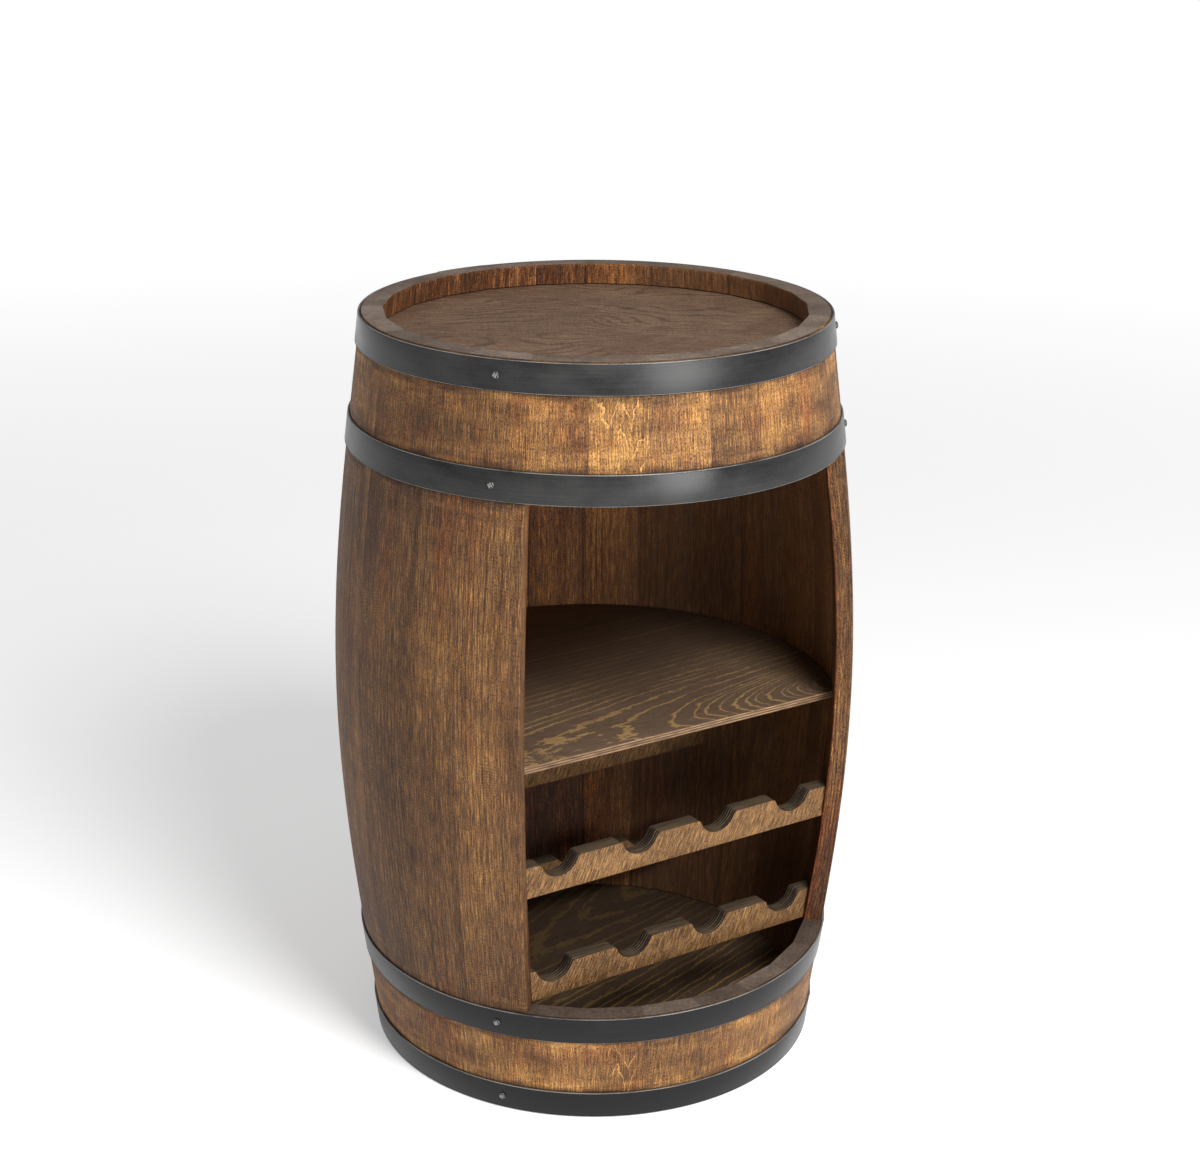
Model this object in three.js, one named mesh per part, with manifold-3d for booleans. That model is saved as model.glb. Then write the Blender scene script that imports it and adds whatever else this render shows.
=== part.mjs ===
// Barrel bar cabinet: a staved barrel with four steel hoops, open at the front over seven staves.
// Inside are a shelf and two rows of notched bottle rails, and the top is a sunken tray.
// Millimetres, +Z up. The opening faces -Y, and an azimuth of 0 points out through its middle.
// The origin is on the floor, under the middle of the cabinet's bounding box.

import * as THREE from 'three';
import { mergeVertices } from 'three/addons/utils/BufferGeometryUtils.js';
import Module from 'manifold-3d';

const wasm = await Module();
wasm.setup();

// Barrel
const HEIGHT = 810;
const END_RADIUS = 243;
const BELLY_RADIUS = 280;
const BOW_SHARE = 1.36; // share of the bow that grows with the square of the height from the belly
const CHIME_CHAMFER = 1.5;

// Staves
const BACK_STAVES = 18;
const FRONT_STAVES = 7;
const STAVE_AT_BELLY = 18;
const STAVE_AT_ENDS = 24;
const SEAM = 0.3;
const BOW_STEPS = 11;
const ARC_STEPS = 3;

// Opening, between two bands of short staves
const OPENING_ANGLE = 95;
const LOWER_BAND = 126.5; // height of the short staves under the opening
const UPPER_BAND = 134; // height of the short staves over it

// Hoops
const HOOP_WIDTH = 30;
const HOOP_THICKNESS = 2;
const HOOP_FIT = 0.3;
const HOOP_STEPS = 72;
const LAP_LENGTH = 46;
const LAP_RAMP = 20;
const LAP_FIT = 0.3;
const RIM_REVEAL = 1; // wood left bare beyond the end hoops
const CUT_REVEAL = 1; // wood left bare above the lower hoop, and steel past the cut at the upper one

// Hoop screws
const SCREW_SHANK = 3.2;
const SCREW_LENGTH = 14;
const SCREW_HEAD = 7.6;
const SCREW_HEAD_HEIGHT = 2.6;
const SCREW_FIT = 0.25;
const SCREW_SIDES = 12;
const RECESS_LENGTH = 4;
const RECESS_WIDTH = 0.9;
const RECESS_DEPTH = 1.5;

// Top board and floor board, let into grooves in the staves
const TOP_RECESS = 24;
const TOP_BOARD = 12;
const FLOOR_RECESS = 20;
const FLOOR_BOARD = 12;
const GROOVE_DEPTH = 5;
const GROOVE_BEVEL = 1;
const BOARD_FIT = 0.3;
const BOARD_STEPS = 72;

// Shelf and the blocks under it
const SHELF_TOP = 389;
const SHELF_THICKNESS = 8;
const SHELF_FRONT = 150; // from the barrel's axis to the shelf's straight front edge
const SHELF_FIT = 0.3;
const BLOCK_WIDTH = 44;
const BLOCK_HEIGHT = 22;
const BLOCK_DEPTH = 18;
const BLOCK_STAVES = [2, 6, 11, 15];

// Bottle rails
const RAIL_HEIGHT = 34.5;
const RAIL_THICKNESS = 18;
const RAIL_SETBACK = 3; // from the inner corners of the opening to a front rail's face
const RAIL_FIT = 0.3;
const REAR_RAIL_OFFSET = 105; // from the barrel's axis back to a rear rail's face
const UPPER_FRONT_RAIL_BOTTOM = 253;
const UPPER_REAR_RAIL_BOTTOM = 230;
const LOWER_FRONT_RAIL_BOTTOM = 127;
const LOWER_REAR_RAIL_BOTTOM = 94;

// Notches: the front rails hold bottle necks and the rear rails hold bottle bodies
const NOTCH_COUNT = 4;
const NOTCH_PITCH = 98;
const NECK_NOTCH = { radius: 22.5, depth: 18 };
const BODY_NOTCH = { radius: 38, depth: 15 };
const NOTCH_SHOULDER = 5;
const NOTCH_STEPS = 4;

// Angles of the staves
const halfOpening = THREE.MathUtils.degToRad(OPENING_ANGLE / 2);
const frontPitch = (2 * halfOpening) / FRONT_STAVES;
const backPitch = (2 * Math.PI - 2 * halfOpening) / BACK_STAVES;
const widestHalfStave = Math.max(frontPitch, backPitch) / 2;

const steps = (from, to, count) => Array.from(
  { length: count + 1 },
  (_, i) => from + ((to - from) * i) / count,
);

const polar = (azimuth, radius, z) => new THREE.Vector3(
  radius * Math.sin(azimuth),
  -radius * Math.cos(azimuth),
  z,
);

const backStaveStart = (index) => halfOpening + backPitch * index;
const backStaveCentre = (index) => backStaveStart(index + 0.5);

// The barrel's outline: radius and slope against the height
function fromBelly(z) {
  return (z - HEIGHT / 2) / (HEIGHT / 2);
}

function outerRadius(z) {
  const s = fromBelly(z);
  return BELLY_RADIUS - (BELLY_RADIUS - END_RADIUS) * (BOW_SHARE * s ** 2 + (1 - BOW_SHARE) * s ** 4);
}

function outerSlope(z) {
  const step = 0.5;
  return (outerRadius(z + step) - outerRadius(z - step)) / (2 * step);
}

// The inner corners lie on the seams; the wall between two seams is flat
function wallRadius(z) {
  const s = fromBelly(z);
  return outerRadius(z) - STAVE_AT_BELLY - (STAVE_AT_ENDS - STAVE_AT_BELLY) * s ** 2;
}

// Heights of the opening, of the two boards and of the grooves that hold them
const openingBottom = LOWER_BAND;
const openingTop = HEIGHT - UPPER_BAND;
const topBoardTop = HEIGHT - TOP_RECESS;
const topBoardBottom = topBoardTop - TOP_BOARD;
const floorBottom = FLOOR_RECESS;
const floorTop = floorBottom + FLOOR_BOARD;
const grooves = [
  { bottom: floorBottom - BOARD_FIT, top: floorTop + BOARD_FIT },
  { bottom: topBoardBottom - BOARD_FIT, top: topBoardTop + BOARD_FIT },
];

function staveInnerRadius(z) {
  const grooved = grooves.some((groove) => z >= groove.bottom && z <= groove.top);
  return wallRadius(z) + (grooved ? GROOVE_DEPTH : 0);
}

function staveOuterRadius(z) {
  const fromEnd = Math.min(z, HEIGHT - z);
  return outerRadius(z) - Math.max(0, CHIME_CHAMFER - fromEnd);
}

// Closed solid skinned over rings of points that run counterclockwise seen from the last ring
function loft(rings) {
  const around = rings[0].length;
  const last = (rings.length - 1) * around;
  const index = [];
  for (let row = 0; row < last; row += around) {
    for (let i = 0; i < around; i += 1) {
      const a = row + i;
      const b = row + ((i + 1) % around);
      index.push(a, b, b + around, a, b + around, a + around);
    }
  }
  for (let i = 1; i < around - 1; i += 1) {
    index.push(0, i + 1, i, last, last + i, last + i + 1);
  }
  const geometry = new THREE.BufferGeometry();
  geometry.setFromPoints(rings.flat());
  geometry.setIndex(index);
  return geometry;
}

// Solid for cutting, from a closed geometry
function solidOf(geometry) {
  const bare = new THREE.BufferGeometry();
  bare.setAttribute('position', geometry.getAttribute('position').clone());
  bare.setIndex(geometry.getIndex());
  const merged = mergeVertices(bare, 1e-4);
  return new wasm.Manifold(new wasm.Mesh({
    numProp: 3,
    vertProperties: Float32Array.from(merged.getAttribute('position').array),
    triVerts: Uint32Array.from(merged.getIndex().array),
  }));
}

function geometryOf(solid) {
  const mesh = solid.getMesh();
  const geometry = new THREE.BufferGeometry();
  geometry.setAttribute('position', new THREE.BufferAttribute(mesh.vertProperties, 3));
  geometry.setIndex(new THREE.BufferAttribute(mesh.triVerts, 1));
  return geometry;
}

// Hoops, named from the top down, each by the height of its lower edge
const hoops = [
  { name: 'top', bottom: HEIGHT - RIM_REVEAL - HOOP_WIDTH },
  { name: 'upper', bottom: openingTop - CUT_REVEAL },
  { name: 'lower', bottom: openingBottom - CUT_REVEAL - HOOP_WIDTH },
  { name: 'bottom', bottom: RIM_REVEAL },
];

// Each hoop has a screw beside each edge of the opening and one at the back, through its lap
const backScrewStave = BACK_STAVES / 2;
const screwPlaces = [
  { side: 'right', stave: 0, onLap: false },
  { side: 'back', stave: backScrewStave, onLap: true },
  { side: 'left', stave: BACK_STAVES - 1, onLap: false },
];

const hoopStep = (2 * Math.PI) / HOOP_STEPS;

// Vertices of the hoop's facets, pushed out so that the facets clear the round wood
const hoopInnerRadius = (z) => (outerRadius(z) + HOOP_FIT) / Math.cos(hoopStep / 2);

// Frame on a hoop's outer face at a screw: +Z points out along the screw
function screwFrame(hoop, place) {
  const z = hoop.bottom + HOOP_WIDTH / 2;
  const slope = outerSlope(z);
  const azimuth = backStaveCentre(place.stave);
  const outward = polar(azimuth, 1, -slope).normalize();
  const lapLift = place.onLap ? HOOP_THICKNESS + LAP_FIT : 0;
  const seat = polar(azimuth, hoopInnerRadius(z) + HOOP_THICKNESS, z);
  seat.addScaledVector(outward, lapLift + SCREW_FIT);
  const turn = new THREE.Quaternion().setFromUnitVectors(new THREE.Vector3(0, 0, 1), outward);
  return new THREE.Matrix4().compose(seat, turn, new THREE.Vector3(1, 1, 1));
}

// Hole along a screw, a little wider than its shank and deeper than its tip
function screwHole(hoop, place) {
  const depth = SCREW_LENGTH + 1;
  const rise = SCREW_HEAD_HEIGHT;
  const hole = new THREE.CylinderGeometry(
    SCREW_SHANK / 2 + SCREW_FIT,
    SCREW_SHANK / 2 + SCREW_FIT,
    depth + rise,
    SCREW_SIDES,
  );
  hole.rotateX(Math.PI / 2);
  hole.translate(0, 0, (rise - depth) / 2);
  hole.applyMatrix4(screwFrame(hoop, place));
  return solidOf(hole);
}

function cutHoles(geometry, holes) {
  return geometryOf(holes.reduce((solid, hole) => solid.subtract(hole), solidOf(geometry)));
}

// Staves
function staveHeights(bottom, top) {
  const marks = [bottom, top, CHIME_CHAMFER, HEIGHT - CHIME_CHAMFER];
  for (const groove of grooves) {
    marks.push(groove.bottom - GROOVE_BEVEL, groove.bottom, groove.top, groove.top + GROOVE_BEVEL);
  }
  const nearMark = 4;
  const even = steps(0, HEIGHT, BOW_STEPS).filter(
    (z) => marks.every((mark) => Math.abs(mark - z) > nearMark),
  );
  return [...marks, ...even].filter((z) => z >= bottom && z <= top).sort((a, b) => a - b);
}

function staveRing(z, from, to) {
  const outer = steps(from, to, ARC_STEPS).map((azimuth) => polar(azimuth, staveOuterRadius(z), z));
  const inner = [to, from].map((azimuth) => polar(azimuth, staveInnerRadius(z), z));
  return [...outer, ...inner];
}

function staveGeometry(start, pitch, bottom, top) {
  const halfSeam = SEAM / 2 / BELLY_RADIUS;
  const heights = staveHeights(bottom, top);
  return loft(heights.map((z) => staveRing(z, start + halfSeam, start + pitch - halfSeam)));
}

function backStaveGeometry(index) {
  const blank = staveGeometry(backStaveStart(index), backPitch, 0, HEIGHT);
  const holes = screwPlaces
    .filter((place) => place.stave === index)
    .flatMap((place) => hoops.map((hoop) => screwHole(hoop, place)));
  return holes.length ? cutHoles(blank, holes) : blank;
}

// A hoop is one strip: its ends lap at the back, the outer end stepping over the inner one
function hoopGeometry(hoop) {
  const lap = LAP_LENGTH / outerRadius(hoop.bottom);
  const ramp = LAP_RAMP / outerRadius(hoop.bottom);
  const start = backStaveCentre(backScrewStave) - lap / 2;
  const fullTurn = 2 * Math.PI;
  const rampEnd = fullTurn - ramp / 2;
  const turns = [
    ...steps(0, rampEnd - ramp, HOOP_STEPS),
    ...steps(rampEnd, fullTurn + lap, 3),
  ];
  const top = hoop.bottom + HOOP_WIDTH;
  const rings = turns.map((turn) => {
    const lift = turn >= rampEnd ? HOOP_THICKNESS + LAP_FIT : 0;
    const corner = (z, out) => polar(start + turn, hoopInnerRadius(z) + lift + out, z);
    return [
      corner(hoop.bottom, HOOP_THICKNESS),
      corner(hoop.bottom, 0),
      corner(top, 0),
      corner(top, HOOP_THICKNESS),
    ];
  });
  return cutHoles(loft(rings), screwPlaces.map((place) => screwHole(hoop, place)));
}

// Pan head screw with a cross recess, its seat at z = 0 and its shank pointing down
function screwGeometry() {
  const headRadius = SCREW_HEAD / 2;
  const shankRadius = SCREW_SHANK / 2;
  const profile = [
    [0, -SCREW_LENGTH],
    [shankRadius, -SCREW_LENGTH + shankRadius],
    [shankRadius, 0],
    [headRadius, 0],
    [headRadius, 0.4 * SCREW_HEAD_HEIGHT],
    [0.85 * headRadius, 0.8 * SCREW_HEAD_HEIGHT],
    [0.5 * headRadius, SCREW_HEAD_HEIGHT],
    [0, SCREW_HEAD_HEIGHT],
  ].map(([x, y]) => new THREE.Vector2(x, y));
  const body = new THREE.LatheGeometry(profile, SCREW_SIDES);
  body.rotateX(Math.PI / 2);
  const slot = (width, length) => {
    const cutter = new THREE.BoxGeometry(width, length, 2 * RECESS_DEPTH);
    cutter.translate(0, 0, SCREW_HEAD_HEIGHT);
    return solidOf(cutter);
  };
  const recess = slot(RECESS_WIDTH, RECESS_LENGTH).add(slot(RECESS_LENGTH, RECESS_WIDTH));
  return cutHoles(body, [recess]);
}

// Round board in its groove, with an edge on its top where it enters the groove
function boardGeometry(bottom, thickness) {
  const top = bottom + thickness;
  const grooveRadius = Math.min(staveInnerRadius(bottom), staveInnerRadius(top));
  const radius = grooveRadius * Math.cos(widestHalfStave) - BOARD_FIT;
  const profile = [
    [0, bottom],
    [radius, bottom],
    [radius, top],
    [radius - GROOVE_DEPTH, top],
    [0, top],
  ].map(([x, y]) => new THREE.Vector2(x, y));
  const board = new THREE.LatheGeometry(profile, BOARD_STEPS);
  board.rotateX(Math.PI / 2);
  return board;
}

// Shelf: a disc against the walls, cut straight across the front
function shelfGeometry() {
  const bottom = SHELF_TOP - SHELF_THICKNESS;
  const wall = Math.min(wallRadius(bottom), wallRadius(SHELF_TOP));
  const radius = wall * Math.cos(widestHalfStave) - SHELF_FIT;
  const corner = Math.asin(-SHELF_FRONT / radius);
  const outline = new THREE.Shape();
  outline.absarc(0, 0, radius, corner, Math.PI - corner, false);
  outline.closePath();
  const shelf = new THREE.ExtrudeGeometry(outline, {
    depth: SHELF_THICKNESS,
    bevelEnabled: false,
    curveSegments: BOARD_STEPS / 2,
  });
  shelf.translate(0, 0, bottom);
  return shelf;
}

// Block under the shelf, flat against one stave
function blockMesh(name, stave) {
  const top = SHELF_TOP - SHELF_THICKNESS - SHELF_FIT;
  const wall = Math.min(wallRadius(top - BLOCK_HEIGHT), wallRadius(top)) * Math.cos(backPitch / 2);
  const azimuth = backStaveCentre(stave);
  const block = new THREE.Mesh(
    new THREE.BoxGeometry(BLOCK_WIDTH, BLOCK_DEPTH, BLOCK_HEIGHT),
    oak(0x6f4d33),
  );
  block.position.copy(polar(azimuth, wall - SHELF_FIT - BLOCK_DEPTH / 2, top - BLOCK_HEIGHT / 2));
  block.rotation.z = azimuth;
  block.name = name;
  return block;
}

// One notch in a rail's top edge, drawn from right to left: shoulder, hollow, shoulder
function addNotch(outline, centre, { radius, depth }) {
  const hollowY = RAIL_HEIGHT - depth + radius;
  const shoulderY = RAIL_HEIGHT - NOTCH_SHOULDER;
  const reach = radius + NOTCH_SHOULDER;
  const shoulderX = Math.sqrt(reach ** 2 - (hollowY - shoulderY) ** 2);
  const lean = Math.atan2(hollowY - shoulderY, shoulderX);
  const up = Math.PI / 2;
  outline.absarc(centre + shoulderX, shoulderY, NOTCH_SHOULDER, up, Math.PI - lean, false);
  outline.absarc(centre, hollowY, radius, -lean, Math.PI + lean, true);
  outline.absarc(centre - shoulderX, shoulderY, NOTCH_SHOULDER, lean, up, false);
}

// Space inside the walls, less the rails' clearance
function boreSolid() {
  const corners = [
    ...steps(-halfOpening, halfOpening - frontPitch, FRONT_STAVES - 1),
    ...steps(halfOpening, 2 * Math.PI - halfOpening - backPitch, BACK_STAVES - 1),
  ];
  const rings = staveHeights(floorTop, topBoardBottom).map(
    (z) => corners.map((azimuth) => polar(azimuth, wallRadius(z) - RAIL_FIT, z)),
  );
  return solidOf(loft(rings));
}

// Rail from wall to wall, its front face at y = front
function railGeometry(bottom, front, notch) {
  const outline = new THREE.Shape();
  outline.moveTo(-BELLY_RADIUS, 0);
  outline.lineTo(BELLY_RADIUS, 0);
  outline.lineTo(BELLY_RADIUS, RAIL_HEIGHT);
  const first = ((NOTCH_COUNT - 1) * NOTCH_PITCH) / 2;
  for (const centre of steps(first, -first, NOTCH_COUNT - 1)) {
    addNotch(outline, centre, notch);
  }
  outline.lineTo(-BELLY_RADIUS, RAIL_HEIGHT);
  outline.closePath();
  const rail = new THREE.ExtrudeGeometry(outline, {
    depth: RAIL_THICKNESS,
    bevelEnabled: false,
    curveSegments: NOTCH_STEPS,
  });
  rail.rotateX(Math.PI / 2);
  rail.translate(0, front + RAIL_THICKNESS, bottom);
  return geometryOf(solidOf(rail).intersect(boreSolid()));
}

function frontRailFace(bottom) {
  return RAIL_SETBACK - wallRadius(bottom) * Math.cos(halfOpening);
}

// Materials
function oak(color) {
  return new THREE.MeshStandardMaterial({ color, roughness: 0.62, metalness: 0 });
}

function steel(color) {
  return new THREE.MeshStandardMaterial({ color, roughness: 0.42, metalness: 0.85 });
}

// The barrel's axis, moved so that the bounding box is centred on the origin
const frontReach = outerRadius(hoops[1].bottom) + HOOP_FIT + HOOP_THICKNESS;
const barrel = new THREE.Group();
barrel.position.y = (frontReach - BELLY_RADIUS) / 2;

function add(name, geometry, material) {
  const mesh = new THREE.Mesh(geometry, material);
  mesh.name = name;
  barrel.add(mesh);
}

for (let i = 0; i < BACK_STAVES; i += 1) {
  const number = String(i + 1).padStart(2, '0');
  add(`stave_${number}`, backStaveGeometry(i), oak(i % 2 ? 0x7a5437 : 0x84603f));
}

for (let i = 0; i < FRONT_STAVES; i += 1) {
  const start = -halfOpening + frontPitch * i;
  const lower = staveGeometry(start, frontPitch, 0, openingBottom);
  const upper = staveGeometry(start, frontPitch, openingTop, HEIGHT);
  add(`lower_stave_${i + 1}`, lower, oak(0x9a6f45));
  add(`upper_stave_${i + 1}`, upper, oak(0xa8753f));
}

const screw = screwGeometry();
for (const hoop of hoops) {
  add(`hoop_${hoop.name}`, hoopGeometry(hoop), steel(0x3c3d3f));
  for (const place of screwPlaces) {
    const placed = screw.clone().applyMatrix4(screwFrame(hoop, place));
    add(`screw_${hoop.name}_${place.side}`, placed, steel(0x2b2b2d));
  }
}

add('top_board', boardGeometry(topBoardBottom, TOP_BOARD), oak(0x6d5445));
add('floor_board', boardGeometry(floorBottom, FLOOR_BOARD), oak(0x4a3828));
add('shelf', shelfGeometry(), oak(0x57463a));
BLOCK_STAVES.forEach((stave, i) => barrel.add(blockMesh(`shelf_block_${i + 1}`, stave)));

const upperFace = frontRailFace(UPPER_FRONT_RAIL_BOTTOM);
const lowerFace = frontRailFace(LOWER_FRONT_RAIL_BOTTOM);
const rails = [
  ['upper_front_rail', UPPER_FRONT_RAIL_BOTTOM, upperFace, NECK_NOTCH],
  ['upper_rear_rail', UPPER_REAR_RAIL_BOTTOM, REAR_RAIL_OFFSET, BODY_NOTCH],
  ['lower_front_rail', LOWER_FRONT_RAIL_BOTTOM, lowerFace, NECK_NOTCH],
  ['lower_rear_rail', LOWER_REAR_RAIL_BOTTOM, REAR_RAIL_OFFSET, BODY_NOTCH],
];
for (const [name, bottom, face, notch] of rails) {
  add(name, railGeometry(bottom, face, notch), oak(0x97714b));
}

const cabinet = new THREE.Group();
cabinet.add(barrel);

export default cabinet;
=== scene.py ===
"""Looks of the barrel bar cabinet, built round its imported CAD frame.

Sizes below are in millimetres, in the barrel's own frame: its axis is x = y = 0, the floor is z = 0 and the
opening faces -Y. An azimuth of 0 points out through the middle of the opening and grows towards +X.
"""

import math
import random

import bpy
from mathutils import Matrix, Vector


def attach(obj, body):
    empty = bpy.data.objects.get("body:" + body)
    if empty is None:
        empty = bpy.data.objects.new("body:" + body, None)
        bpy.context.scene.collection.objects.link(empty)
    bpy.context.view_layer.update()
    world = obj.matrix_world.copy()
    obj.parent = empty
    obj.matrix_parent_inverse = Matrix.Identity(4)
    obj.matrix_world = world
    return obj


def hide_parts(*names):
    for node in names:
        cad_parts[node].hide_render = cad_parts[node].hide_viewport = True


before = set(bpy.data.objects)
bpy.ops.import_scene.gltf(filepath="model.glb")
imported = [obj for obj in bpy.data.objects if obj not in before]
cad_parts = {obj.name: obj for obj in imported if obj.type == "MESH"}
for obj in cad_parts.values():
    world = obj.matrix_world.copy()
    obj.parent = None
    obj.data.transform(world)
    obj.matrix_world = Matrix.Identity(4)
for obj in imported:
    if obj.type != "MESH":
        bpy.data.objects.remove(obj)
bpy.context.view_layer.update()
random.seed(7)

# Barrel
HEIGHT = 810
END_RADIUS = 243
BELLY_RADIUS = 280
BOW_SHARE = 1.36
CHIME = 1.5
CHIME_STEP = 0.4  # height of the ring that rounds the chime
CHIME_WEAR = 0.6
CUT_CHAMFER = 0.35  # share of the chime's chamfer on the inside and at the staves' cut ends
SKIN = 0.6  # the smooth outside lies this far inside the CAD's widest line
CORNER = 0.3  # a rounded edge runs this share of its radius inside the sharp corner
SHARP_ANGLE = math.radians(40)

# Staves
BACK_STAVES = 18
FRONT_STAVES = 7
STAVE_AT_BELLY = 18
STAVE_AT_ENDS = 24
JOINT = 0.02  # gap between two staves, which is drawn finer than the CAD's
SHARP_ARRIS = 0.15
WORN_ARRIS = 0.9
ARRIS_SPLIT = 0.3  # place of the middle point of an arris, as a share of its chamfer
FADE = 2.0  # pale wear reaches this far from an edge
RING_STEP = 16  # height between the plain rings of a stave
RING_GAP = 3  # least height between a plain ring and a marked one
JAMB_WEAR = (0.5, 0.6)  # wear of the right and the left edge of the opening, 0 to 1
SEAM_MARKS = (1.3, -1.6, -1.2)  # the inner arrises of the staves in turn, pale over 0 and dark under it
PITH_SIDE = 0.05  # metres from the middle of a board to its pith, at most
PITH_DEPTH = (0.05, 0.12)  # metres from a board's outside to its pith, outwards or inwards
PITH_TILT = 0.02
BOARD_RUN = 40  # metres of grain that the staves are taken from, each at its own place
OPENING_ANGLE = math.radians(95)
LOWER_BAND = 126.5
UPPER_BAND = 134

# Hoops and their screws
HOOP_WIDTH = 30
HOOP_THICKNESS = 2
HOOP_FIT = 0.3
HOOP_ROUNDING = 0.45
# The upper hoops are set lighter and the lower ones darker: painted light and shade
HOOP_LIGHT_AND_SHADE_TONES = (0.15, -0.6)  # the upper two and the lower two
LAP_LENGTH = 46
LAP_RAMP = 20
RIM_REVEAL = 1
CUT_REVEAL = 1
SCREW_LENGTH = 14
SCREW_SHANK = 3.2
SCREW_HEAD = 7.6
SCREW_HEAD_HEIGHT = 2.6
SCREW_BRIM = 0.35  # height of the head's brim, as a share of the head's
SCREW_LIFT = 0.05
RECESS_LENGTH = 4.2
RECESS_WIDTH = 1
RECESS_DEPTH = 1
RECESS_TAPER = (0.6, 1.15)  # size of the recess at its floor and above the head, as shares

# Boards, shelf and rails
TOP_RECESS = 24
FLOOR_RECESS = 20
BOARD = 12
BOARD_FIT = 0.3
WALL_FIT = 0.3
ROUNDING = 0.7
GROOVE_DEPTH = 5
GROOVE_BEVEL = 1
SHELF_TOP = 389
SHELF_THICKNESS = 8
SHELF_FRONT = 150
RAIL_HEIGHT = 34.5
RAIL_THICKNESS = 18
RAIL_SETBACK = 3
RAIL_SPARE = 20  # a rail is drawn this much too long at both ends
RAIL_END = 2  # and its points this near an end are then laid along the wall
REAR_RAIL_OFFSET = 105
UPPER_FRONT_RAIL_BOTTOM = 253
UPPER_REAR_RAIL_BOTTOM = 230
LOWER_FRONT_RAIL_BOTTOM = 127
LOWER_REAR_RAIL_BOTTOM = 94
NOTCH_COUNT = 4
NOTCH_PITCH = 98
NOTCH_SHOULDER = 5
NECK_NOTCH = (22.5, 18)  # radius and depth
BODY_NOTCH = (38, 15)
BLOCK_COUNT = 4
BLOCK_ROUNDING = 1
TEXTURE_RUN = 9  # metres that the hoops' and rails' textures are taken from

# Steps along the curves
STAVE_STEPS = 5
HOOP_STEPS = 176
RAMP_STEPS = 6
LAP_STEPS = 8
SCREW_SIDES = 32
DOME_STEPS = 8
SHELF_STEPS = 120
NOTCH_STEPS = 16
SHOULDER_STEPS = 6

OPENING_BOTTOM = LOWER_BAND
OPENING_TOP = HEIGHT - UPPER_BAND
TOP_BOARD_TOP = HEIGHT - TOP_RECESS
HOOPS = {
    "top": HEIGHT - RIM_REVEAL - HOOP_WIDTH,
    "upper": OPENING_TOP - CUT_REVEAL,
    "lower": OPENING_BOTTOM - CUT_REVEAL - HOOP_WIDTH,
    "bottom": RIM_REVEAL,
}
HALF_OPENING = OPENING_ANGLE / 2
FRONT_PITCH = OPENING_ANGLE / FRONT_STAVES
BACK_PITCH = (2 * math.pi - OPENING_ANGLE) / BACK_STAVES


def outer_radius(z):
    """Radius of the barrel's outside at a height."""
    s = (z - HEIGHT / 2) / (HEIGHT / 2)
    return BELLY_RADIUS - (BELLY_RADIUS - END_RADIUS) * (BOW_SHARE * s**2 + (1 - BOW_SHARE) * s**4)


def wall_radius(z):
    """Radius of the inner corners, where two staves meet."""
    s = (z - HEIGHT / 2) / (HEIGHT / 2)
    return outer_radius(z) - STAVE_AT_BELLY - (STAVE_AT_ENDS - STAVE_AT_BELLY) * s**2


# The axis stands in front of the middle of the cabinet's box, as the opening takes the belly away in front
AXIS_Y = (outer_radius(HOOPS["upper"]) + HOOP_FIT + HOOP_THICKNESS - BELLY_RADIUS) / 2


def place(x, y, z):
    """A point of the barrel's frame, in metres in the cabinet's frame."""
    return (x / 1000, (y + AXIS_Y) / 1000, z / 1000)


def polar(azimuth, radius, z):
    """A point given by its azimuth, its distance from the axis and its height."""
    return place(radius * math.sin(azimuth), -radius * math.cos(azimuth), z)


def spread(start, end, count):
    """Values from start to end in count equal steps."""
    return [start + (end - start) * i / count for i in range(count + 1)]


# Meshes

def add_piece(name, points, faces, material, node, attributes=None):
    """A smooth mesh piece that stands for one CAD node."""
    mesh = bpy.data.meshes.new(name)
    mesh.from_pydata(points, [], faces)
    mesh.polygons.foreach_set("use_smooth", [True] * len(faces))
    mesh.set_sharp_from_angle(angle=SHARP_ANGLE)
    for key, values in (attributes or {}).items():
        layer = mesh.attributes.new(key, "FLOAT_VECTOR", "POINT")
        layer.data.foreach_set("vector", [c for value in values for c in value])
    mesh.materials.append(material)
    piece = bpy.data.objects.new(name, mesh)
    bpy.context.scene.collection.objects.link(piece)
    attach(piece, "root")
    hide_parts(node)


def skin(rings):
    """Points and faces of a skin over rings of equal length, with a cap on both ends."""
    around = len(rings[0])
    last = (len(rings) - 1) * around
    faces = []
    for a in range(0, last, around):
        b = a + around
        for i in range(around):
            j = (i + 1) % around
            faces.append((a + i, a + j, b + j, b + i))
    faces.append(tuple(range(around - 1, -1, -1)))
    faces.append(tuple(last + i for i in range(around)))
    return [point for ring in rings for point in ring], faces


# Shader graphs

class Signal:
    """A shader socket that takes part in sums and products."""

    def __init__(self, graph, socket):
        self.graph = graph
        self.socket = socket

    def __add__(self, other):
        return self.graph.math("ADD", self, other)

    def __sub__(self, other):
        return self.graph.math("SUBTRACT", self, other)

    def __rsub__(self, other):
        return self.graph.math("SUBTRACT", other, self)

    def __mul__(self, other):
        return self.graph.math("MULTIPLY", self, other)

    def __truediv__(self, other):
        return self.graph.math("DIVIDE", self, other)

    __radd__ = __add__
    __rmul__ = __mul__


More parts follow.
